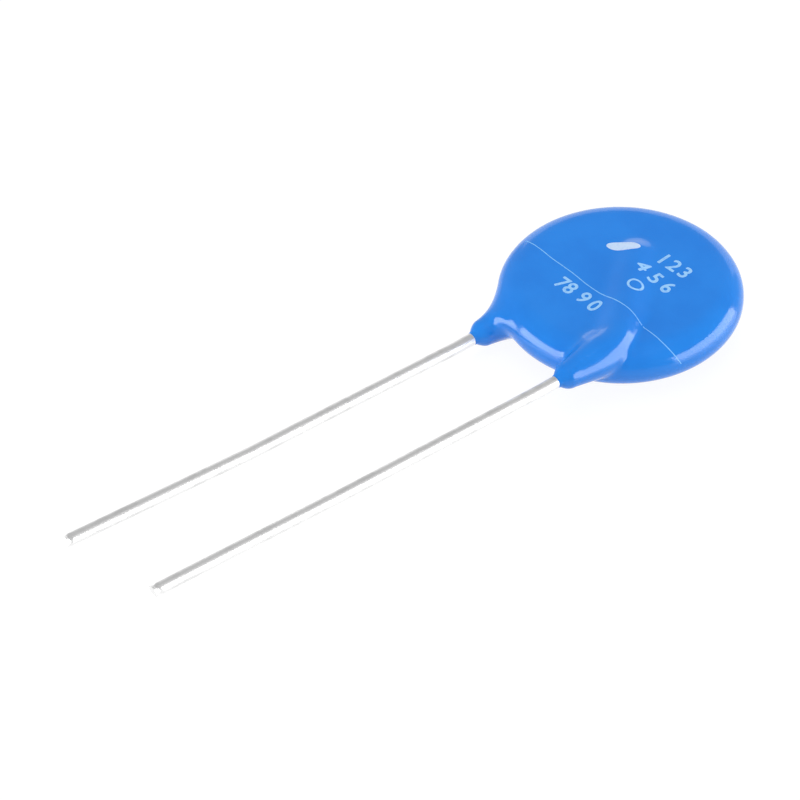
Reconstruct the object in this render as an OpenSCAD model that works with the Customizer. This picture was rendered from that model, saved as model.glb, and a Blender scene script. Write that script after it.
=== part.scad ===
// Leaded metal oxide disc varistor, lying on its rear face as it would on a bench.
// A pressed ceramic disc carries a fired electrode on each face. A tinned copper wire is soldered
// across each electrode, and the assembly is dipped in epoxy, which leaves a ridge over each wire
// and a short tapered root where the wire comes out. The front wire is at +X and the rear one at -X.
// The wires leave towards -Y, the disc's middle plane is level, and the origin lies on the surface
// under the middle of the part's outline.

/* [Ceramic disc] */
// Diameter of the ceramic disc
ceramic_d = 13.5; // [11:0.1:17]
// Thickness of the ceramic disc
ceramic_t = 0.8; // [0.6:0.05:2.4]
// Bevel on the disc's edges
ceramic_bevel = 0.1; // [0.05:0.01:0.2]

/* [Electrodes] */
// Bare ceramic left between an electrode's edge and the disc's edge
electrode_margin = 0.5; // [0.3:0.05:1]
// Thickness of an electrode
electrode_t = 0.03; // [0.02:0.005:0.06]

/* [Wires] */
// Diameter of the wires
wire_d = 0.75; // [0.6:0.05:1]
// Distance between the two wires where they leave the coating
wire_pitch = 7.6; // [6:0.1:9.4]
// Sideways distance from the disc's centre to the middle of the pair
wire_shift = 0.35; // [0:0.05:0.6]
// Length of the front wire outside the coating
front_wire_len = 30.2; // [22:0.1:38]
// Length of the rear wire outside the coating
rear_wire_len = 30.8; // [22:0.1:38]
// Distance from the disc's centre line to the corner where a wire turns across the face
corner_back = 3.9; // [2.6:0.05:4.2]
// Bend radius of that corner, to the wire's axis
corner_r = 2.5; // [1.5:0.1:3]
// How far above the disc's centre the wires cross its centre line
wire_high = 0.9; // [0:0.1:1.4]
// How far a wire runs past that crossing
wire_past = 1.7; // [1.2:0.1:2.6]

/* [Lead shape] */
// Straight length outside the coating before a wire's first slight bend
stub_len = 1.2; // [0.8:0.1:3]
// Place of the second slight bend, as a share of the length outside the coating
mid_bend_at = 0.55; // [0.4:0.05:0.65]
// Radius of the slight bends, to the wire's axis
slight_r = 12; // [6:1:20]
// Turn of both wires towards -X in the first bend
drift_turn = 1.2; // [0.4:0.1:3]
// Turn of the front wire upwards in the first bend
front_rise = 1.4; // [0:0.1:3]
// Turn of the front wire upwards in the second bend
front_lift = 0.8; // [0.4:0.1:3]
// Turn of the rear wire upwards in the first bend
rear_rise = 1.8; // [0:0.1:3]
// Turn of the rear wire upwards in the second bend
rear_lift = 2; // [0.4:0.1:3]
// Swelling of a wire where a bend ends
bend_swell = 0.0005; // [0.0003:0.0001:0.001]
// Slant of the cut ends
cut_slant = 14; // [2:1:30]

/* [Solder] */
// Film of solder between an electrode and the wire
solder_film = 0.05; // [0.03:0.01:0.1]
// Half width of the solder at its foot
solder_half_w = 1; // [0.7:0.05:1.3]
// Share of the wire's height that the solder climbs
solder_climb = 0.8; // [0.6:0.05:0.9]
// Width of the flat that the solder leaves beside the wire at the top
solder_land = 0.06; // [0.04:0.01:0.1]
// Length of soldered wire before the crossing
solder_before = 3.2; // [2:0.1:3.6]

/* [Coating] */
// Coating outside the ceramic's edge
rim_coat = 0.65; // [0.4:0.05:1]
// Coating over an electrode near the rim
face_coat = 0.93; // [0.7:0.01:1.2]
// Extra coating at the middle of each face
crown = 0.1; // [0:0.02:0.3]
// Width of the rounded rim, seen from above
rim_w = 1.62; // [1:0.01:2]
// Fullness of the rounded rim, which is 2 for half an ellipse
rim_fullness = 2.12; // [2:0.01:2.6]
// Coating over a wire from its root to its corner
ridge_coat = 0.9; // [0.6:0.01:1.1]
// Coating over a wire at its inner end
end_coat = 0.45; // [0.3:0.01:0.6]
// Length of coated wire outside the rim
root_len = 1.2; // [0.8:0.1:3]
// Coating left at the very end of a root
root_skin = 0.05; // [0.03:0.01:0.1]
// Coating over a wire just behind the tip of its root
tip_coat = 0.42; // [0.3:0.01:0.6]
// Length of that rounded tip
tip_len = 0.7; // [0.5:0.1:1.2]
// Length over which a root swells to its full thickness
root_taper = 3.7; // [2:0.1:5]
// How widely the roots flow into the rim
root_flow = 1.0; // [0.8:0.05:1.6]
// How widely a ridge flows into the face on its outer side
ridge_flow = 0.45; // [0.3:0.05:1]
// How widely a ridge flows into the face on its inner side, where the epoxy pools
pool_flow = 1.05; // [0.8:0.05:1.8]

/* [Mesh] */
// Steps of a section near its wire
near_steps = 8; // [5:1:12]
// Steps of a section from there to the rim
far_steps = 10; // [7:1:14]
// Steps round half of a root's tip
tip_steps = 8; // [6:1:12]
// Steps along a root and the wire's first straight
root_steps = 9; // [6:1:14]
// Steps along a wire from there to the crossing
ridge_steps = 12; // [8:1:16]
// Steps round half of the free rim
rim_steps = 14; // [10:1:24]

/* [Hidden] */

$fn = 96;
wire_r = wire_d / 2;
disc_half = ceramic_t / 2 + electrode_t;
wire_z = disc_half + solder_film + wire_r;
electrode_d = ceramic_d - 2 * electrode_margin;
body_r = ceramic_d / 2 + rim_coat;
plate_half = disc_half + face_coat;
root_end = -(body_r + root_len);
ridge_r = wire_r + ridge_coat;
side_blend = 1.2;
front_x = wire_pitch / 2 + wire_shift;
rear_x = wire_pitch / 2 - wire_shift;

// Both wires are worked out in the front wire's own view, in which the wire stands at x = side_x
// and z = wire_z. A half turn about Y takes that view to the rear wire.
function corner_turn(side_x) = atan2(side_x, corner_back + wire_high);
function corner_cut(side_x) = corner_r * tan(corner_turn(side_x) / 2);
function leg_top(side_x) = -corner_back - corner_cut(side_x);
function inner_dir(side_x) = [-sin(corner_turn(side_x)), cos(corner_turn(side_x))];
function inner_len(side_x) = norm([side_x, corner_back + wire_high]) - corner_cut(side_x);
function inner_start(side_x) = [0, wire_high] - inner_dir(side_x) * inner_len(side_x);

// Point on a wire's axis at a distance s above the end of its root, in plan
function wire_point(side_x, s) =
    let (leg = leg_top(side_x) - root_end, arc = corner_r * corner_turn(side_x) * PI / 180)
    s < leg ? [side_x, root_end + s]
    : s < leg + arc
        ? let (a = (s - leg) / arc * corner_turn(side_x))
          [side_x - corner_r * (1 - cos(a)), leg_top(side_x) + corner_r * sin(a)]
        : inner_start(side_x) + inner_dir(side_x) * (s - leg - arc);
function wire_run(side_x) =
    leg_top(side_x) - root_end + corner_r * corner_turn(side_x) * PI / 180 + inner_len(side_x);

// The coating's skin is where coat_gap is zero: a round-edged disc and a skin along each wire,
// run together as a liquid would be.
function run_together(a, b, width) = let (h = max(width - abs(a - b), 0)) min(a, b) - h * h / (4 * width);
function eased(share) = let (u = min(max(share, 0), 1)) u * u * (3 - 2 * u);
function disc_gap(p) =
    let (rho = norm([p[0], p[1]]), half = plate_half + crown * (1 - pow(min(rho / body_r, 1), 2)),
         out = max(rho - body_r + rim_w, 0) / rim_w, high = abs(p[2]) / half)
    (pow(pow(out, rim_fullness) + pow(high, rim_fullness), 1 / rim_fullness) - 1) * half;
function root_r(y, side_x) =
    let (t = max(y - root_end, 0), swell_len = min(root_taper, leg_top(side_x) - root_end))
    wire_r + root_skin + (tip_coat - root_skin) * sin(90 * min(t / tip_len, 1))
        + (ridge_coat - tip_coat) * eased(t / swell_len);
function leg_gap(p, side_x) =
    norm([p[0] - side_x, p[1] - min(max(p[1], root_end), leg_top(side_x)), p[2] - wire_z])
        - root_r(p[1], side_x);
function inner_gap(p, side_x) =
    let (from = inner_start(side_x), dir = inner_dir(side_x), q = [p[0], p[1]] - from,
         all = inner_len(side_x) + wire_past, s = min(max(q * dir, 0), all), off = q - dir * s)
    norm([off[0], off[1], p[2] - wire_z]) - ridge_r + (ridge_coat - end_coat) * s / all;
function arc_gap(p, side_x) =
    let (q = [p[0] - side_x + corner_r, p[1] - leg_top(side_x)])
    norm([norm(q) - corner_r, p[2] - wire_z]) - ridge_r;
function wire_gap(p, side_x) =
    let (a = atan2(p[1] - leg_top(side_x), p[0] - side_x + corner_r))
    a > 0 && a < corner_turn(side_x) ? arc_gap(p, side_x)
    : min(leg_gap(p, side_x), inner_gap(p, side_x));
function flow_at(p, side_x) =
    let (pooled = eased((side_x - p[0]) / side_blend + 0.5),
         low = eased((plate_half - abs(p[2])) / (plate_half - wire_z)),
         at_face = ridge_flow + (pool_flow - ridge_flow) * pooled)
    at_face + (root_flow - at_face) * low;
function turned(p) = [-p[0], p[1], -p[2]];
function coat_gap(p) =
    let (q = turned(p), front = run_together(disc_gap(p), wire_gap(p, front_x), flow_at(p, front_x)))
    run_together(front, wire_gap(q, rear_x), flow_at(q, rear_x));

// Distance along a ray at which it leaves the coating, halved down between two known distances
halvings = 12;
plan_step = 0.5;
height_step = 0.4;
ray_step = 0.8;
function halve(from, ray, low, high, left) =
    left == 0 ? (low + high) / 2
    : let (mid = (low + high) / 2)
      coat_gap(from + ray * mid) > 0 ? halve(from, ray, low, mid, left - 1)
                                     : halve(from, ray, mid, high, left - 1);
function leave(from, ray, step, at = 0) =
    coat_gap(from + ray * (at + step)) > 0 ? halve(from, ray, at, at + step, halvings)
                                           : leave(from, ray, step, at + step);

// Sections fan out from points along each wire, so that mesh lines follow the ridges
first_s = wire_r;
points_per_wire = root_steps + ridge_steps;
function inner_point(side_x, i) =
    let (leg = leg_top(side_x) - root_end,
         s = i <= root_steps
             ? first_s + (leg - first_s) * i / root_steps
             : leg + (wire_run(side_x) - leg) * (i - root_steps) / ridge_steps,
         p = wire_point(side_x, s),
         rise = i <= root_steps ? 1 : 1 - (i - root_steps) / ridge_steps)
    [p[0], p[1], wire_z * rise];
inner_points = concat(
    [for (i = [0:points_per_wire - 1]) inner_point(front_x, i)],
    [[0, wire_high, 0]],
    [for (i = [points_per_wire - 1:-1:0]) turned(inner_point(rear_x, i))]);
middle = points_per_wire;
last = 2 * points_per_wire;
heights = [for (p = inner_points) leave(p, [0, 0, 1], height_step)];
depths = [for (p = inner_points) leave(p, [0, 0, -1], height_step)];

// The disc stands this high, so that the rear wire's ridge just touches the surface
rest_z = max([for (i = [0:last]) depths[i] - inner_points[i][2]]);
middle_y = (max(front_wire_len, rear_wire_len) - root_end - body_r) / 2;

// Each section aims at a point of a simple outline, which runs up beside the root and then round the
// rim. side is 1 on a wire's outer side and -1 towards the other wire.
aim_width = 0.9;
first_aim = 0.5;
last_aim = 25;
function on_rim(angle) = body_r * [cos(angle), sin(angle)];
function aim(side_x, i, side) =
    let (x = side_x + side * aim_width, low = root_end + first_s * first_aim, knee = -acos(x / body_r))
    i <= root_steps
        ? [x, low + (body_r * sin(knee) - low) * i / root_steps]
        : on_rim(knee + ((side > 0 ? last_aim : -90) - knee) * (i - root_steps) / ridge_steps);
function heading(from, to) = atan2(to[1] - from[1], to[0] - from[0]);
function wire_heading(side_x, i, side) = heading(inner_point(side_x, i), aim(side_x, i, side));

// A section is given as the number of its inner point and its direction in plan
function outer_half(side_x) = concat(
    [for (i = [0:tip_steps - 1]) [0, -90 + (wire_heading(side_x, 0, 1) + 90) * i / tip_steps]],
    [for (i = [0:points_per_wire - 1]) [i, wire_heading(side_x, i, 1)]],
    [for (i = [0:rim_steps])
        [middle, heading([0, wire_high], on_rim(last_aim + (90 - last_aim) * i / rim_steps))]]);
function inner_half(side_x) = concat(
    [for (i = [1:tip_steps - 1]) [0, -90 + (wire_heading(side_x, 0, -1) + 90) * i / tip_steps]],
    [for (i = [0:points_per_wire - 1]) [i, wire_heading(side_x, i, -1)]],
    [[middle, -90]]);
function rear(section) = [last - section[0], 180 - section[1]];
front_outer = outer_half(front_x);
front_inner = inner_half(front_x);
rear_outer = outer_half(rear_x);
sections = concat(
    front_outer,
    [for (i = [len(rear_outer) - 2:-1:0]) rear(rear_outer[i])],
    [for (section = inner_half(rear_x)) rear(section)],
    [for (i = [len(front_inner) - 2:-1:0]) front_inner[i]]);

// Angle of a section's point away from straight up. The points stand closer near the wire.
near_span = 2;
near_share = 0.3;
half_steps = near_steps + far_steps;
function away(i, reach) =
    let (near = min(near_span / reach, near_share))
    i <= near_steps ? atan(near * i / near_steps)
                    : atan(near) + (90 - atan(near)) * (i - near_steps) / far_steps;
function section_points(section) =
    let (from = inner_points[section[0]], along = [cos(section[1]), sin(section[1]), 0],
         reach = leave(from, along, plan_step), up = heights[section[0]], down = depths[section[0]])
    [for (i = [1:2 * half_steps - 1])
        let (a = away(min(i, 2 * half_steps - i), reach),
             ray = along * reach * sin(a) + [0, 0, cos(a) * (i < half_steps ? up : -down)])
        from + ray * leave(from, ray, ray_step)];

module dipped_body() {
    poles = last + 1;
    ring = 2 * half_steps - 1;
    count = len(sections);
    tops = [for (i = [0:last]) inner_points[i] + [0, 0, heights[i]]];
    bottoms = [for (i = [0:last]) inner_points[i] - [0, 0, depths[i]]];
    skin = [for (section = sections) each section_points(section)];
    function at(i, j) = 2 * poles + (i % count) * ring + j;
    function pole(i) = sections[i % count][0];
    walls = [for (i = [0:count - 1]) for (j = [0:ring - 2]) each [
        [at(i, j), at(i + 1, j), at(i + 1, j + 1)],
        [at(i, j), at(i + 1, j + 1), at(i, j + 1)]]];
    top_fans = [for (i = [0:count - 1]) [pole(i), at(i + 1, 0), at(i, 0)]];
    top_strips = [for (i = [0:count - 1]) if (pole(i) != pole(i + 1))
        [pole(i), pole(i + 1), at(i + 1, 0)]];
    bottom_fans = [for (i = [0:count - 1])
        [poles + pole(i), at(i, ring - 1), at(i + 1, ring - 1)]];
    bottom_strips = [for (i = [0:count - 1]) if (pole(i) != pole(i + 1))
        [poles + pole(i), at(i + 1, ring - 1), poles + pole(i + 1)]];
    polyhedron(points = concat(tops, bottoms, skin),
               faces = concat(walls, top_fans, top_strips, bottom_fans, bottom_strips));
}

// Sets the part down on its ridge, with the origin under the middle of its outline
module set_down() {
    translate([0, middle_y, rest_z]) children();
}
module rear_side() {
    rotate([0, 180, 0]) children();
}

// A wire is drawn along its own +Z from where it stands: a straight length, then a bend, and so on
module straight(length) {
    cylinder(h = length, r = wire_r);
    translate([0, 0, length]) children();
}
// A bend turns the wire by turn degrees towards the side that lies at angle toward about its axis
module bend(radius, turn, toward) {
    rotate([0, 0, toward]) translate([radius, 0, 0]) rotate([90, 0, 180])
        rotate_extrude(angle = turn) translate([radius, 0]) circle(r = wire_r);
    rotate([0, 0, toward]) translate([radius * (1 - cos(turn)), 0, radius * sin(turn)])
        rotate([0, turn, 0]) rotate([0, 0, -toward]) {
            sphere(r = wire_r + bend_swell);
            children();
        }
}

// Length of wire in a slight bend
function slight_arc(turn) = slight_r * abs(turn) * PI / 180;

// A whole wire, from the end that is soldered past the disc's centre to the cut end
module lead(side_x, free_len, drift, rise, lift) {
    first_turn = norm([drift, rise]);
    mid_len = free_len * mid_bend_at - stub_len - slight_arc(first_turn);
    end_len = free_len * (1 - mid_bend_at) - slight_arc(lift);
    translate([0, wire_high, wire_z]) rotate([0, 0, corner_turn(side_x)]) translate([0, wire_past, 0])
        rotate([90, 0, 0])
        straight(wire_past + inner_len(side_x))
        bend(corner_r, corner_turn(side_x), 180)
        straight(leg_top(side_x) - root_end + stub_len)
        bend(slight_r, first_turn, atan2(rise, drift))
        straight(mid_len)
        bend(slight_r, abs(lift), lift > 0 ? 90 : -90)
        difference() {
            cylinder(h = end_len + wire_r, r = wire_r);
            translate([0, 0, end_len]) rotate([cut_slant, 0, 0]) translate([0, 0, wire_d])
                cube(2 * wire_d, center = true);
        }
}
module front_wire() {
    lead(front_x, front_wire_len, -drift_turn, front_rise, front_lift);
}
module rear_wire() {
    rear_side() lead(rear_x, rear_wire_len, drift_turn, -rear_rise, -rear_lift);
}

// Half of the solder's section across the wire: a narrow flat beside the wire at the height that
// the solder climbs to, then a hollow slope down to the electrode
solder_h = solder_film + solder_climb * wire_d;
crest_half = sqrt(pow(wire_r, 2) - pow(solder_climb * wire_d - wire_r, 2)) + solder_land;
slope_steps = 4;
solder_slope = [for (i = [0:slope_steps])
    let (u = i / slope_steps) [crest_half + (solder_half_w - crest_half) * u, solder_h * pow(1 - u, 2)]];
solder_half = concat([[0, 0], [0, solder_h]], solder_slope);

// Solder along the part of a wire that passes the disc's centre, with round ends
module solder_bead(side_x) {
    on_electrode = electrode_d / 2 - solder_half_w;
    before = min(solder_before, inner_len(side_x), on_electrode);
    past = min(wire_past - wire_r, on_electrode - wire_high);
    translate([0, wire_high, disc_half]) rotate([0, 0, corner_turn(side_x)]) {
        translate([0, past, 0]) rotate([90, 0, 0]) linear_extrude(before + past)
            polygon(concat(solder_slope,
                           [for (i = [slope_steps:-1:0]) [-solder_slope[i][0], solder_slope[i][1]]]));
        translate([0, past, 0]) rotate_extrude(angle = 180) polygon(solder_half);
        translate([0, -before, 0]) rotate_extrude(angle = 180, start = 180) polygon(solder_half);
    }
}

module ceramic_form() {
    r = ceramic_d / 2;
    h = ceramic_t / 2;
    b = ceramic_bevel;
    rotate_extrude() polygon([[0, -h], [r - b, -h], [r, b - h], [r, h - b], [r - b, h], [0, h]]);
}
module electrode_form() {
    translate([0, 0, ceramic_t / 2]) cylinder(h = electrode_t, d = electrode_d);
}

module coating() {
    color("royalblue") set_down() difference() {
        dipped_body();
        ceramic_form();
        electrode_form();
        rear_side() electrode_form();
        solder_bead(front_x);
        rear_side() solder_bead(rear_x);
        front_wire();
        rear_wire();
    }
}

module ceramic_disc() {
    color("dimgray") set_down() ceramic_form();
}

module front_electrode() {
    color("gainsboro") set_down() electrode_form();
}

module rear_electrode() {
    color("gainsboro") set_down() rear_side() electrode_form();
}

module front_solder() {
    color("lightslategray") set_down() difference() {
        solder_bead(front_x);
        front_wire();
    }
}

module rear_solder() {
    color("lightslategray") set_down() difference() {
        rear_side() solder_bead(rear_x);
        rear_wire();
    }
}

module front_lead() {
    color("silver") set_down() front_wire();
}

module rear_lead() {
    color("silver") set_down() rear_wire();
}

coating();
ceramic_disc();
front_electrode();
rear_electrode();
front_solder();
rear_solder();
front_lead();
rear_lead();
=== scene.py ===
import bmesh
import bpy
import math
import numpy as np
from mathutils import Matrix, Vector, noise
from mathutils.bvhtree import BVHTree


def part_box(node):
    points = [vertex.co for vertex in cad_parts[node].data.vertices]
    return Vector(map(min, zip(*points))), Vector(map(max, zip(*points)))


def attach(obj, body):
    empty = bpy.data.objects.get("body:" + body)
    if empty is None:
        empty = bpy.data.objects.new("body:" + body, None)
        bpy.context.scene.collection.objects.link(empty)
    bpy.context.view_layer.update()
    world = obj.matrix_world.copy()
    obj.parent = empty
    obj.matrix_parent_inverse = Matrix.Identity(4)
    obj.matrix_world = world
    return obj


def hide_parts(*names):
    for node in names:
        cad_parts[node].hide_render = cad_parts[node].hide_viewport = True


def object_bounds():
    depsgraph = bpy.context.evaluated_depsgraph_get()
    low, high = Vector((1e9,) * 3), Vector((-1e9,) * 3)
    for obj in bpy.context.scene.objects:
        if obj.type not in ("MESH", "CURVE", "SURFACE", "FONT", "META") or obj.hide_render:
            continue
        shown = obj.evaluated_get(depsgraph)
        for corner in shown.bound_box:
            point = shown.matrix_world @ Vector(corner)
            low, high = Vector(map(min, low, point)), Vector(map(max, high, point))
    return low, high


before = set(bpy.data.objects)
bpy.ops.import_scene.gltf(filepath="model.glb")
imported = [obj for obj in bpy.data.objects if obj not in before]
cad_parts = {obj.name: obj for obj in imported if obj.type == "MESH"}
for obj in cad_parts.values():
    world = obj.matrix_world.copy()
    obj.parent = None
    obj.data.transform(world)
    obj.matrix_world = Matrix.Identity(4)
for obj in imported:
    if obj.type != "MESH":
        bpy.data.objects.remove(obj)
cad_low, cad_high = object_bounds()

# Ceramic disc
# Zinc oxide powder, pressed to a disc and sintered. It is dark and matt, and it is the working part,
# sealed inside the coating. All that this script shows of it is its finish.


class Value:
    """A socket among a material's nodes. Operators on it add Math nodes, and node() adds any other."""

    def __init__(self, tree, socket=None):
        self.tree = tree
        self.socket = socket

    def node(self, kind, settings=None, sockets=None, out=0):
        made = self.tree.nodes.new("ShaderNode" + kind)
        for name, value in (settings or {}).items():
            setattr(made, name, value)
        for key, value in (sockets or {}).items():
            self.feed(made.inputs[key], value)
        return Value(self.tree, made.outputs[out])

    def feed(self, target, value):
        if isinstance(value, Value):
            self.tree.links.new(value.socket, target)
        else:
            target.default_value = value

    def math(self, operation, *terms):
        return self.node("Math", {"operation": operation}, dict(enumerate(terms)))

    def __add__(self, other):
        return self.math("ADD", self, other)

    def __mul__(self, other):
        return self.math("MULTIPLY", self, other)

    __radd__ = __add__
    __rmul__ = __mul__

    def over(self, low, high):
        """0 where the value is under low and 1 where it is over high, with a smooth step between"""
        return self.node("MapRange", {"interpolation_type": "SMOOTHSTEP"},
                         {"Value": self, "From Min": low, "From Max": high})

    def between(self, first, second):
        """The first colour where the value is 0 and the second where it is 1"""
        return self.node("Mix", {"data_type": "RGBA"}, {0: self, 6: first, 7: second}, out=2)

    def ranged(self, low, high):
        """low where the value is 0 and high where it is 1"""
        return self * (high - low) + low

    def noise(self, scale, detail):
        return self.node("TexNoise", sockets={"Vector": self, "Scale": scale, "Detail": detail})

    def bump(self, height, distance):
        return self.node("Bump", sockets={"Height": height, "Distance": distance})


def finish(name, constants):
    """A new material, its object coordinates, and the function that feeds its shader"""
    material = bpy.data.materials.new(name)
    material.use_nodes = True
    shader = material.node_tree.nodes["Principled BSDF"]
    for key, value in constants.items():
        shader.inputs[key].default_value = value
    start = Value(material.node_tree)

    def shade(**fed):
        for key, value in fed.items():
            start.feed(shader.inputs[key.replace("_", " ")], value)

    return material, start.node("TexCoord", out="Object"), shade


def cover(node, material):
    """Gives a CAD node's object this material in each of its material slots"""
    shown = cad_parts[node]
    for held in shown.material_slots:
        held.material = material


# In every section a noise is its count to the metre and its detail. A blend is where a noise begins
# and ends to turn one colour into the other. A roughness is its least and its greatest.
mm = 0.001
ceramic_dark = (0.035, 0.036, 0.04, 1)
ceramic_pale = (0.075, 0.076, 0.08, 1)
ceramic_shine = 0.3
ceramic_grain = (9000, 4)
ceramic_blend = (0.3, 0.7)
ceramic_rough = (0.75, 0.95)
grain_depth = 0.01 * mm

ceramic, place, shade = finish("ceramic", {"Specular IOR Level": ceramic_shine})
grain = place.noise(*ceramic_grain)
shade(Base_Color=grain.over(*ceramic_blend).between(ceramic_dark, ceramic_pale),
      Roughness=grain.ranged(*ceramic_rough),
      Normal=place.bump(grain, grain_depth))
cover("ceramic_disc", ceramic)

# Electrodes
# A silver paste is printed on each face of the ceramic and fired. It is matt, with the weave of the
# printing screen still faintly in it, and it stops short of the ceramic's edge.
silver_pale = (0.84, 0.83, 0.8, 1)
silver_dull = (0.66, 0.64, 0.6, 1)
silver_haze = (600, 3)
silver_blend = (0.4, 0.65)
silver_rough = (0.42, 0.57)
screen_count = 4000
screen_depth = 0.004 * mm

electrode, place, shade = finish("electrode", {"Metallic": 1.0})
weave = place.node("TexVoronoi", sockets={"Vector": place, "Scale": screen_count})
dull = place.noise(*silver_haze).over(*silver_blend)
shade(Base_Color=dull.between(silver_pale, silver_dull),
      Roughness=dull.ranged(*silver_rough),
      Normal=place.bump(weave, screen_depth))
for node in ("front_electrode", "rear_electrode"):
    cover(node, electrode)

# Leads
# Two tinned copper wires, each bent across its face of the disc and soldered there. Their tin is
# dull, with faint lines from drawing. They were cut with pliers, which left a waist behind the cut.


def joined_copy(node):
    """A copy of a CAD node's mesh with its loose triangles joined, shaded smooth"""
    shape = bmesh.new()
    shape.from_mesh(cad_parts[node].data)
    bmesh.ops.remove_doubles(shape, verts=shape.verts, dist=weld)
    for face in shape.faces:
        face.smooth = True
    return shape


def piece_from(shape, name, material, replaced=()):
    """The finished piece: its object stays at the origin and stands for these CAD nodes"""
    mesh = bpy.data.meshes.new(name)
    shape.to_mesh(mesh)
    shape.free()
    mesh.materials.append(material)
    made = bpy.data.objects.new(name, mesh)
    bpy.context.collection.objects.link(made)
    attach(made, "root")
    if replaced:
        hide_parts(*replaced)


tin_bright = (0.86, 0.86, 0.86, 1)
tin_dull = (0.74, 0.74, 0.74, 1)
weld = 0.0005 * mm
sharp_angle = math.radians(35)
tin_stain = (900, 4)
tin_blend = (0.45, 0.7)
tin_rough = (0.44, 0.52)
draw_lines = (16000, 2)
draw_stretch = (1, 0.04, 1)
draw_depth = 0.004 * mm
# The waist: its middle lies this far behind the cut, it ends this far from there, and its rings of
# vertices are this many. The last value is the share of the wire's thickness that it takes.
waist_back = 0.24 * mm
waist_reach = 0.24 * mm
waist_rings = 12
waist_share = 0.17

tin, place, shade = finish("tin", {"Metallic": 1.0})
drawn = place.node("Mapping", sockets={"Vector": place, "Scale": draw_stretch})
lines = drawn.noise(*draw_lines)
stain = place.noise(*tin_stain).over(*tin_blend)
shade(Base_Color=stain.between(tin_bright, tin_dull),
      Roughness=stain.ranged(*tin_rough),
      Normal=place.bump(lines, draw_depth))
for side in ("front", "rear"):
    wire = joined_copy(side + "_lead")
    wire.faces.ensure_lookup_table()
    cut_face = max(wire.faces, key=lambda face: -face.calc_center_median().y - face.normal.y)
    cut_away = cut_face.normal.copy()
    rim = [vert.co for vert in wire.verts
           if abs((vert.co - cut_face.verts[0].co).dot(cut_away)) < weld]
    cut_middle = sum(rim, Vector()) / len(rim)
    for step in range(1, waist_rings + 1):
        back = (waist_back + waist_reach) * step / waist_rings
        bmesh.ops.bisect_plane(wire, geom=wire.verts[:] + wire.edges[:] + wire.faces[:], dist=weld,
                               plane_co=cut_middle - cut_away * back, plane_no=cut_away)
    for vert in wire.verts:
        back = (cut_middle - vert.co).dot(cut_away)
        near = max(1 - ((back - waist_back) / waist_reach) ** 2, 0)
        aside = vert.co - cut_middle + cut_away * back
        vert.co -= aside * waist_share * near ** 2
    for edge in wire.edges:
        edge.smooth = edge.calc_face_angle(math.pi) < sharp_angle
    piece_from(wire, side + "_wire", tin, [side + "_lead"])

# Solder
# A bead of solder fills the corner between each wire and its electrode. It wets both, so its sides
# are hollow, and it set with a slightly rippled skin.
solder_bright = (0.62, 0.63, 0.64, 1)
solder_dull = (0.42, 0.43, 0.44, 1)
solder_ripple = (2500, 3)
solder_blend = (0.35, 0.7)
solder_rough = (0.3, 0.5)
ripple_depth = 0.02 * mm

solder, place, shade = finish("solder", {"Metallic": 1.0})
ripple = place.noise(*solder_ripple)
shade(Base_Color=ripple.over(*solder_blend).between(solder_bright, solder_dull),
      Roughness=ripple.ranged(*solder_rough),
      Normal=place.bump(ripple, ripple_depth))
for node in ("front_solder", "rear_solder"):
    cover(node, solder)

# Coating
# The soldered disc is dipped head first in blue epoxy, which covers both faces and runs up the first
# millimetres of the wires. Surface tension draws it into one glossy skin, steep on the outer side of
# each wire, pooled on the inner side, and thin where it ends on the wire.
disc_low, disc_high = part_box("ceramic_disc")
disc_middle = (disc_low + disc_high) / 2
# The plate: how thick the epoxy is round the ceramic's edge and over each electrode, how much more
# it is at the middle of a face, and how wide and how full the rounded rim is.
rim_coat = 0.65 * mm
face_coat = 0.93 * mm
crown = 0.1 * mm
rim_w = 1.62 * mm
rim_fullness = 2.12
body_r = (disc_high.x - disc_low.x) / 2 + rim_coat
plate_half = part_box("front_electrode")[1].z - disc_middle.z + face_coat
# The wires: their radius and their height over the disc's middle, how far beyond the middle their
# inner runs cross and how much further they go, and where and how widely they bend.
wire_r = 0.375 * mm
wire_z = 0.855 * mm
wire_high = 0.9 * mm
wire_past = 1.7 * mm
corner_back = 3.9 * mm
corner_r = 2.5 * mm
# Each wire in turn: how far it lies to the side, the side that it is on, how far its skin flows
# together with the rim on its outer side, and the web on its inner side.
wire_sides = ((4.15 * mm, 1, 0.2 * mm, 0), (3.45 * mm, -1, 1.0 * mm, 0.9 * mm))
# The epoxy over a wire: on the ridge, at the inner end, and at the root, which thins towards its tip.
ridge_coat = 0.9 * mm
end_coat = 0.45 * mm
root_len = 1.2 * mm
root_skin = 0.05 * mm
tip_coat = 0.42 * mm
tip_len = 0.7 * mm
root_taper = 3.7 * mm
ridge_r = wire_r + ridge_coat
end_r = wire_r + end_coat
root_end = -body_r - root_len
root_end_r = wire_r + root_skin
tip_r = wire_r + tip_coat
# How widely the skins flow together: at the rim, on a ridge's outer side and in the pool on its inner
# side, with the width over which one side's flow turns into the other's. Then where a web begins, and
# how gently.
root_flow = 1.0 * mm
ridge_flow = 0.24 * mm
pool_flow = 0.85 * mm
side_blend = 1.2 * mm
web_from = -6.1 * mm
web_blend = 1.2 * mm
# The slumped shoulder: the way it faces, its distance from the wire's middle as a share of the skin's
# radius, that share where nothing slumps, the part of the inner run on which it fades, and how round
# its edges are.
slump_lean = math.radians(38)
slump_at = 0.965
slump_gone = 1.3
slump_fade = 0.4
slump_blend = 0.16 * mm


def eased(share):
    """A share from 0 to 1 that sets off and arrives gently"""
    share = np.clip(share, 0, 1)
    return share * share * (3 - 2 * share)


def run_together(first, second, width):
    """Two wet skins that meet, rounded into each other over a width"""
    shared = np.maximum(width - abs(first - second), 0)
    return np.minimum(first, second) - shared ** 2 / (4 * width)


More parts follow.
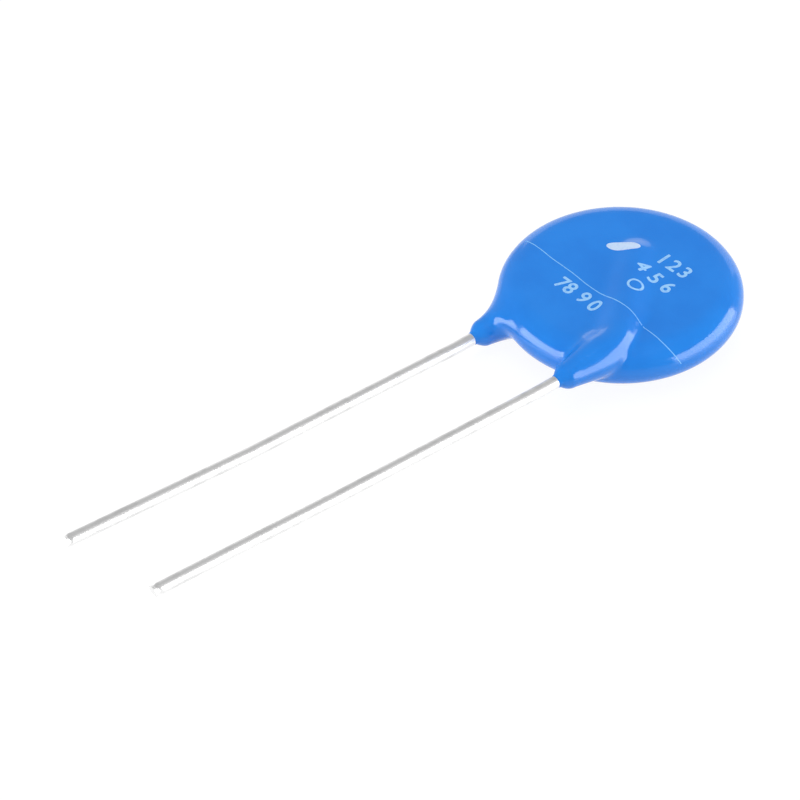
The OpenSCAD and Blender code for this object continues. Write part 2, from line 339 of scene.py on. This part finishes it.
def plate_gap(x, y, z):
    """How far points stand outside the round-edged plate"""
    rho = np.hypot(x, y)
    half = plate_half + crown * (1 - np.minimum(rho / body_r, 1) ** 2)
    out = np.maximum(rho - body_r + rim_w, 0) / rim_w
    return ((out ** rim_fullness + (abs(z) / half) ** rim_fullness) ** (1 / rim_fullness) - 1) * half


def section_gap(aside, high, past, radius, round_share=0):
    """How far points stand outside a wet wire whose epoxy slumped a little on its outer shoulder"""
    slumped = slump_at + (slump_gone - slump_at) * round_share
    flat = aside * math.cos(slump_lean) + high * math.sin(slump_lean) - slumped * radius
    return -run_together(radius - np.sqrt(aside ** 2 + high ** 2 + past ** 2), -flat, slump_blend)


def wire_gap(x, y, z, side):
    """How far points stand outside the epoxy round one wire: its root, its bend and its inner run"""
    # The bend turns the wire by this angle, and begins and ends this far from the corner
    turn = math.atan2(side, corner_back + wire_high)
    cut = corner_r * math.tan(turn / 2)
    bend_y = -corner_back - cut
    high = z - wire_z
    # The root thickens from its end to the bend
    risen = np.maximum(y - root_end, 0)
    root_r = (root_end_r + (tip_r - root_end_r) * np.sin(np.pi / 2 * np.minimum(risen / tip_len, 1))
              + (ridge_r - tip_r) * eased(risen / min(root_taper, bend_y - root_end)))
    round_share = 1 - eased(risen / (2 * tip_len))
    root = section_gap(x - side, high, y - np.clip(y, root_end, bend_y), root_r, round_share)
    # The bend is seen from the middle of its circle
    round_x, round_y = x - side + corner_r, y - bend_y
    bend = section_gap(np.hypot(round_x, round_y) - corner_r, high, 0, ridge_r)
    # The inner run goes from the bend across the middle, and thins
    run_x, run_y = -math.sin(turn), math.cos(turn)
    free = math.hypot(side, corner_back + wire_high) - cut
    from_x, from_y = -run_x * free, wire_high - run_y * free
    run = (x - from_x) * run_x + (y - from_y) * run_y
    along = np.clip(run, 0, free + wire_past)
    aside = (x - from_x) * run_y - (y - from_y) * run_x
    inner_r = ridge_r - (ridge_r - end_r) * along / (free + wire_past)
    round_share = eased(along / (slump_fade * (free + wire_past)))
    inner = section_gap(aside, high, run - along, inner_r, round_share)
    angle = np.arctan2(round_y, round_x)
    return np.where((angle > 0) & (angle < turn), bend, np.minimum(root, inner))


def coat_gap(points):
    """How far points stand outside the whole coating, near enough to step onto its skin"""
    x, y, z = (points - np.array(disc_middle)).T
    gap = plate_gap(x, y, z)
    for side, way, outer_flow, web in wire_sides:
        pooled = eased((side - way * x) / side_blend + 0.5)
        at_face = ridge_flow + (pool_flow - ridge_flow) * pooled
        low = eased((plate_half - abs(z)) / (plate_half - wire_z))
        at_side = outer_flow + (root_flow - outer_flow) * pooled
        flow = at_face + (at_side - at_face) * low
        inward = eased((side + web_blend - way * x) / (2 * web_blend))
        flow = flow + web * inward * eased((web_from - y) / web_blend) * eased(0.5 - way * z / web_blend)
        gap = run_together(gap, wire_gap(way * x, y, way * z, side), flow)
    return gap


def onto_skin(points):
    """The points stepped onto the skin, and the skin's outward directions there"""
    for step in range(skin_steps):
        gap = coat_gap(points)
        slope = np.stack([coat_gap(points + probe * axis) - gap for axis in np.eye(3)], 1) / probe
        steep = np.linalg.norm(slope, axis=1)
        points = points - slope * (gap / steep ** 2)[:, None]
    return points, slope / steep[:, None]


def even_mesh(shape, cell):
    """A closed form's mesh again in even squares of this size, worked out in millimetres"""
    bmesh.ops.scale(shape, vec=(1 / mm, 1 / mm, 1 / mm), verts=shape.verts)
    mesh = bpy.data.meshes.new("even")
    shape.to_mesh(mesh)
    shape.free()
    made = bpy.data.objects.new("even", mesh)
    bpy.context.collection.objects.link(made)
    remesh = made.modifiers.new("even", "REMESH")
    remesh.mode = "VOXEL"
    remesh.voxel_size = cell / mm
    ready = made.evaluated_get(bpy.context.evaluated_depsgraph_get())
    shape = bmesh.new()
    shape.from_mesh(ready.data)
    bmesh.ops.scale(shape, vec=(mm, mm, mm), verts=shape.verts)
    bpy.data.objects.remove(made)
    return shape


# The skin is the CAD coating's outer side, meshed evenly, relaxed and stepped onto the shape above,
# with slow waves as dipped epoxy has. The edges round the bores are sharper than bore_angle.
bore_angle = math.radians(50)
skin_cell = 0.1 * mm
skin_steps = 4
probe = 0.0002 * mm
relax_rounds = 3
relax_share = 0.5
wave_len = 3.2 * mm
wave_depth = 0.02 * mm

skin = joined_copy("coating")
bmesh.ops.split_edges(skin, edges=[edge for edge in skin.edges if edge.calc_face_angle(0) > bore_angle])
# The outer side is all that hangs together with the highest vertex
outer = {max(skin.verts, key=lambda vert: vert.co.z)}
reach = list(outer)
while reach:
    end = reach.pop()
    near = [edge.other_vert(end) for edge in end.link_edges]
    found = [vert for vert in near if vert not in outer]
    outer.update(found)
    reach += found
bmesh.ops.delete(skin, geom=[vert for vert in skin.verts if vert not in outer], context="VERTS")
bmesh.ops.holes_fill(skin, edges=[edge for edge in skin.edges if edge.is_boundary])
skin = even_mesh(skin, skin_cell)
for relaxing in range(relax_rounds):
    bmesh.ops.smooth_vert(skin, verts=skin.verts, factor=relax_share,
                          use_axis_x=True, use_axis_y=True, use_axis_z=True)
    points, outward = onto_skin(np.array([vert.co for vert in skin.verts]))
    for vert, point in zip(skin.verts, points):
        vert.co = point
for vert, way in zip(skin.verts, outward):
    sunk = 0.5 + 0.5 * noise.noise(vert.co / wave_len)
    vert.co -= Vector(way) * wave_depth * sunk
for face in skin.faces:
    face.smooth = True
bmesh.ops.recalc_face_normals(skin, faces=skin.faces)
epoxy_surface = BVHTree.FromBMesh(skin)

epoxy_deep = (0.003, 0.215, 0.79, 1)
epoxy_pale = (0.006, 0.24, 0.84, 1)
epoxy_ior = 1.5
epoxy_cloud = (350, 3)
epoxy_blend = (0.3, 0.7)
epoxy_rough = (0.10, 0.15)
epoxy_peel = (1400, 1)
peel_depth = 0.003 * mm

epoxy, place, shade = finish("epoxy", {"IOR": epoxy_ior})
cloud = place.noise(*epoxy_cloud)
peel = place.noise(*epoxy_peel)
shade(Base_Color=cloud.over(*epoxy_blend).between(epoxy_deep, epoxy_pale),
      Roughness=cloud.ranged(*epoxy_rough),
      Normal=place.bump(peel, peel_depth))
piece_from(skin, "coating_skin", epoxy, ["coating"])

# Marks
# Counting digits and two plain signs, stamped on the front face in pale ink after the coating has
# hardened. They stand for no maker and no type. The ink is a thin film that follows the skin.
digit_high = 0.98 * mm
# A mark is first a block of this height, meshed in even cells, and swells a little as wet ink does.
# Then it is pressed to a film of this depth, whose underside is sunk in the coating.
ink_block = 0.15 * mm
ink_cell = 0.03 * mm
ink_swell = 0.03 * mm
ink_depth = 0.012 * mm
ink_sunk = 0.006 * mm


def laid(shape, x, y, turned, name, material):
    """Lays a flat shape on the front face, with its middle x and y millimetres from the disc's"""
    raised = bmesh.ops.extrude_face_region(shape, geom=shape.faces[:])["geom"]
    for vert in raised:
        if isinstance(vert, bmesh.types.BMVert):
            vert.co.z += ink_block
    bmesh.ops.recalc_face_normals(shape, faces=shape.faces)
    shape = even_mesh(shape, ink_cell)
    spin = Matrix.Rotation(math.radians(turned), 4, "Z")
    shape.normal_update()
    for vert in shape.verts:
        flat = spin @ (vert.co + vert.normal * ink_swell)
        start = disc_middle + Vector((x * mm + flat.x, y * mm + flat.y, 0))
        hit, normal = epoxy_surface.ray_cast(start, Vector((0, 0, 1)))[:2]
        share = min(max(vert.co.z / ink_block, 0), 1)
        vert.co = hit + normal * (ink_depth * share - ink_sunk)
    piece_from(shape, name, material)


def digit(figure):
    """One flat digit of the stamp, with its middle at the origin"""
    curve = bpy.data.curves.new("figure", "FONT")
    curve.body = figure
    made = bpy.data.objects.new("figure", curve)
    bpy.context.collection.objects.link(made)
    shape = bmesh.new()
    shape.from_mesh(made.to_mesh())
    bpy.data.objects.remove(made)
    low = Vector(min(vert.co[axis] for vert in shape.verts) for axis in range(3))
    high = Vector(max(vert.co[axis] for vert in shape.verts) for axis in range(3))
    bmesh.ops.translate(shape, vec=-(low + high) / 2, verts=shape.verts)
    size = digit_high / (high.y - low.y)
    bmesh.ops.scale(shape, vec=(size, size, size), verts=shape.verts)
    return shape


# Each ink's colour where it is fresh and where it is rubbed
ink_colours = {"thick_ink": ((0.60, 0.76, 1.0, 1), (0.48, 0.66, 0.98, 1)),
               "thin_ink": ((0.32, 0.63, 1.0, 1), (0.20, 0.48, 0.96, 1)),
               "faint_ink": ((0.21, 0.56, 1.0, 1), (0.15, 0.46, 0.98, 1))}
ink_ior = 1.5
ink_wear = (5000, 3)
ink_blend = (0.45, 0.75)
ink_rough = (0.45, 0.55)
inks = []
for name, (fresh, rubbed) in ink_colours.items():
    material, place, shade = finish(name, {"IOR": ink_ior})
    worn = place.noise(*ink_wear).over(*ink_blend)
    shade(Base_Color=worn.between(fresh, rubbed), Roughness=worn.ranged(*ink_rough))
    inks.append(material)
thick_ink, thin_ink, faint_ink = inks

# Each row: its figures, where the first stands, the step to the next, in millimetres, and its turn
rows = (("123", 0.49, 3.02, 0.88, 4),
        ("456", 0.42, 1.42, 1.09, 1),
        ("78", -1.82, -3.02, 0.68, 3),
        ("90", 0.03, -2.93, 0.98, -1))
for figures, x, y, pitch, turned in rows:
    for place_in_row, figure in enumerate(figures):
        step = pitch * place_in_row
        laid(digit(figure), x + step * math.cos(math.radians(turned)),
             y + step * math.sin(math.radians(turned)), turned, "digit_" + figure, thin_ink)

round_segments = 48
oval_long = 1.02 * mm
oval_wide = 0.39 * mm
oval_x, oval_y, oval_turned = -1.85, 1.85, 35
oval = bmesh.new()
bmesh.ops.create_circle(oval, cap_ends=True, segments=round_segments, radius=1)
bmesh.ops.scale(oval, vec=(oval_long, oval_wide, 1), verts=oval.verts)
laid(oval, oval_x, oval_y, oval_turned, "ink_oval", thick_ink)

ring_r = 0.49 * mm
ring_wide = 0.09 * mm
ring_x, ring_y = 1.5, -0.15
ring = bmesh.new()
for radius in (ring_r, ring_r - ring_wide):
    bmesh.ops.create_circle(ring, segments=round_segments, radius=radius)
bmesh.ops.bridge_loops(ring, edges=ring.edges[:])
laid(ring, ring_x, ring_y, 0, "ink_ring", thin_ink)

# Thin line
# A hairline of faint ink that lies across the front face, over the wire's ridge and down both
# shoulders of the rim. It strays a little, breaks at the ridge's outer foot, and bends aside at one
# end.
line_wide = 0.06 * mm
line_y = -2.0 * mm
line_span = (-6.3 * mm, 7.3 * mm)
line_steps = 280
line_stray = 0.06 * mm
stray_len = 1.5 * mm
hook_from = 5.7 * mm
hook = 0.45 * mm
break_at = (4.17 * mm, 4.29 * mm)
# Past the shoulder the line is laid on the rim at an angle, as if round an arc of this radius
shoulder = 5.4 * mm
arc_r = 1.3 * mm

line = bmesh.new()
bmesh.ops.create_grid(line, x_segments=line_steps, y_segments=1, size=0.5)
for vert in line.verts:
    along = line_span[0] + (line_span[1] - line_span[0]) * (vert.co.x + 0.5)
    hooked = max(along - hook_from, 0) / (line_span[1] - hook_from)
    across = (line_y + vert.co.y * line_wide + hook * hooked ** 2
              + line_stray * noise.noise(Vector((along / stray_len, 0, 0))))
    inside = max(-shoulder, min(along, shoulder))
    lean = (along - inside) / arc_r
    start = disc_middle + Vector((inside, across, 0))
    hit, normal = epoxy_surface.ray_cast(start, Vector((math.sin(lean), 0, math.cos(lean))))[:2]
    vert.co = hit - normal * ink_sunk
gone = [face for face in line.faces
        if break_at[0] < face.calc_center_median().x - disc_middle.x < break_at[1]]
bmesh.ops.delete(line, geom=gone, context="FACES")
raised = bmesh.ops.extrude_face_region(line, geom=line.faces[:])["geom"]
for vert in raised:
    if isinstance(vert, bmesh.types.BMVert):
        vert.co += epoxy_surface.find_nearest(vert.co)[1] * ink_depth
bmesh.ops.recalc_face_normals(line, faces=line.faces)
piece_from(line, "hairline", faint_ink)

# Floor
# A plain pale surface that the part lies on, with a faint gloss. It looks white to the camera and in
# reflections, keeps some of the part's shadow, and is clear from below.
floor_reach = 3.0
floor_segments = 64
floor_pale = (0.82, 0.82, 0.82, 1)
floor_white = (1.0, 1.0, 1.0, 1)
floor_glow = 1.12
shadow_share = 0.12
mirrored_share = 0.95
floor_ior = 1.5
floor_rough = 0.15

shape = bmesh.new()
bmesh.ops.create_circle(shape, cap_ends=True, segments=floor_segments, radius=floor_reach)
mesh = bpy.data.meshes.new("floor")
shape.to_mesh(mesh)
shape.free()
floor = bpy.data.objects.new("floor", mesh)
bpy.context.collection.objects.link(floor)

material = bpy.data.materials.new("floor")
material.use_nodes = True
material.node_tree.nodes.clear()
start = Value(material.node_tree)
seen = start.node("LightPath", out="Is Camera Ray") * (1 - shadow_share)
for ray in ("Is Glossy Ray", "Is Transmission Ray"):
    seen = seen.math("MAXIMUM", seen, start.node("LightPath", out=ray) * mirrored_share)
lit = start.node("BsdfDiffuse", sockets={"Color": floor_pale})
glow = start.node("Emission", sockets={"Color": floor_white, "Strength": floor_glow})
mixed = start.node("MixShader", sockets={0: seen, 1: lit, 2: glow})
gloss = start.node("BsdfGlossy", sockets={"Color": floor_white, "Roughness": floor_rough})
shine = start.node("Fresnel", sockets={"IOR": floor_ior})
polished = start.node("MixShader", sockets={0: shine, 1: mixed, 2: gloss})
below = start.node("NewGeometry", out="Backfacing")
clear = start.node("BsdfTransparent")
sided = start.node("MixShader", sockets={0: below, 1: polished, 2: clear})
output = material.node_tree.nodes.new("ShaderNodeOutputMaterial")
start.feed(output.inputs["Surface"], sided)
mesh.materials.append(material)

# Lights
# Two low soft lights stand to the left and to the right of the part, each with a twin before it that
# shows in reflections alone. A dim one stands behind, one overhead shows in no reflection, and an
# even sky fills in.
middle = (cad_low + cad_high) / 2
sky_grey = (0.52, 0.52, 0.52, 1)
# Each lamp: its turn and rise in degrees, its distance, width and height in metres, how bright it
# looks, whether it lights matt surfaces, and whether it shows in reflections
lamps = (("left_light", -20, 13.5, 0.5, 0.5, 0.255, 2.3, True, True),
         ("right_light", 132, 13.5, 0.5, 0.7, 0.255, 1.9, True, True),
         ("left_sheen", -20, 13.5, 0.48, 0.48, 0.245, 3.3, False, True),
         ("right_sheen", 132, 13.5, 0.48, 0.67, 0.245, 2.9, False, True),
         ("back_light", -140, 9, 0.6, 0.6, 0.19, 0.7, True, True),
         ("overhead_light", 50, 85, 0.6, 0.5, 0.5, 1.6, True, False))


def towards(turn, rise):
    """The direction that stands this many degrees round from the wires' side and above the floor"""
    turn, rise = math.radians(turn), math.radians(rise)
    return Vector((math.sin(turn) * math.cos(rise), -math.cos(turn) * math.cos(rise), math.sin(rise)))


for name, turn, rise, away, wide, tall, radiance, matt, mirrored in lamps:
    lamp = bpy.data.lights.new(name, "AREA")
    lamp.shape = "RECTANGLE"
    lamp.size = wide
    lamp.size_y = tall
    lamp.energy = radiance * math.pi * wide * tall
    made = bpy.data.objects.new(name, lamp)
    back = towards(turn, rise)
    facing = back.to_track_quat("Z", "Y").to_matrix().to_4x4()
    made.matrix_world = Matrix.Translation(middle + back * away) @ facing
    made.visible_diffuse = matt
    made.visible_glossy = mirrored
    bpy.context.collection.objects.link(made)

world = bpy.data.worlds.new("sky")
bpy.context.scene.world = world
world.use_nodes = True
world.node_tree.nodes["Background"].inputs["Color"].default_value = sky_grey

# Camera
# It stands well back, in front of the part and to the right, and looks down on it. The lens is long,
# so that the two wires look almost parallel.
camera_turn = 50.02
camera_rise = 41.74
camera_roll = math.radians(-0.39)
camera_away = 493.3 * mm
# The point that it looks at, between the wires, and the focal length in pixels of the square picture
aim = disc_middle + Vector((-3.0, -14.755, -1.942)) * mm
focal_px = 8309
picture_px = 800
nearest = 0.01
farthest = 20

lens = bpy.data.cameras.new("camera")
lens.lens = lens.sensor_width * focal_px / picture_px
lens.clip_start = nearest
lens.clip_end = farthest
camera = bpy.data.objects.new("camera", lens)
back = towards(camera_turn, camera_rise)
turned = back.to_track_quat("Z", "Y").to_matrix().to_4x4() @ Matrix.Rotation(camera_roll, 4, "Z")
camera.matrix_world = Matrix.Translation(aim + back * camera_away) @ turned
bpy.context.collection.objects.link(camera)
bpy.context.scene.camera = camera
bpy.context.scene.view_settings.view_transform = "Standard"
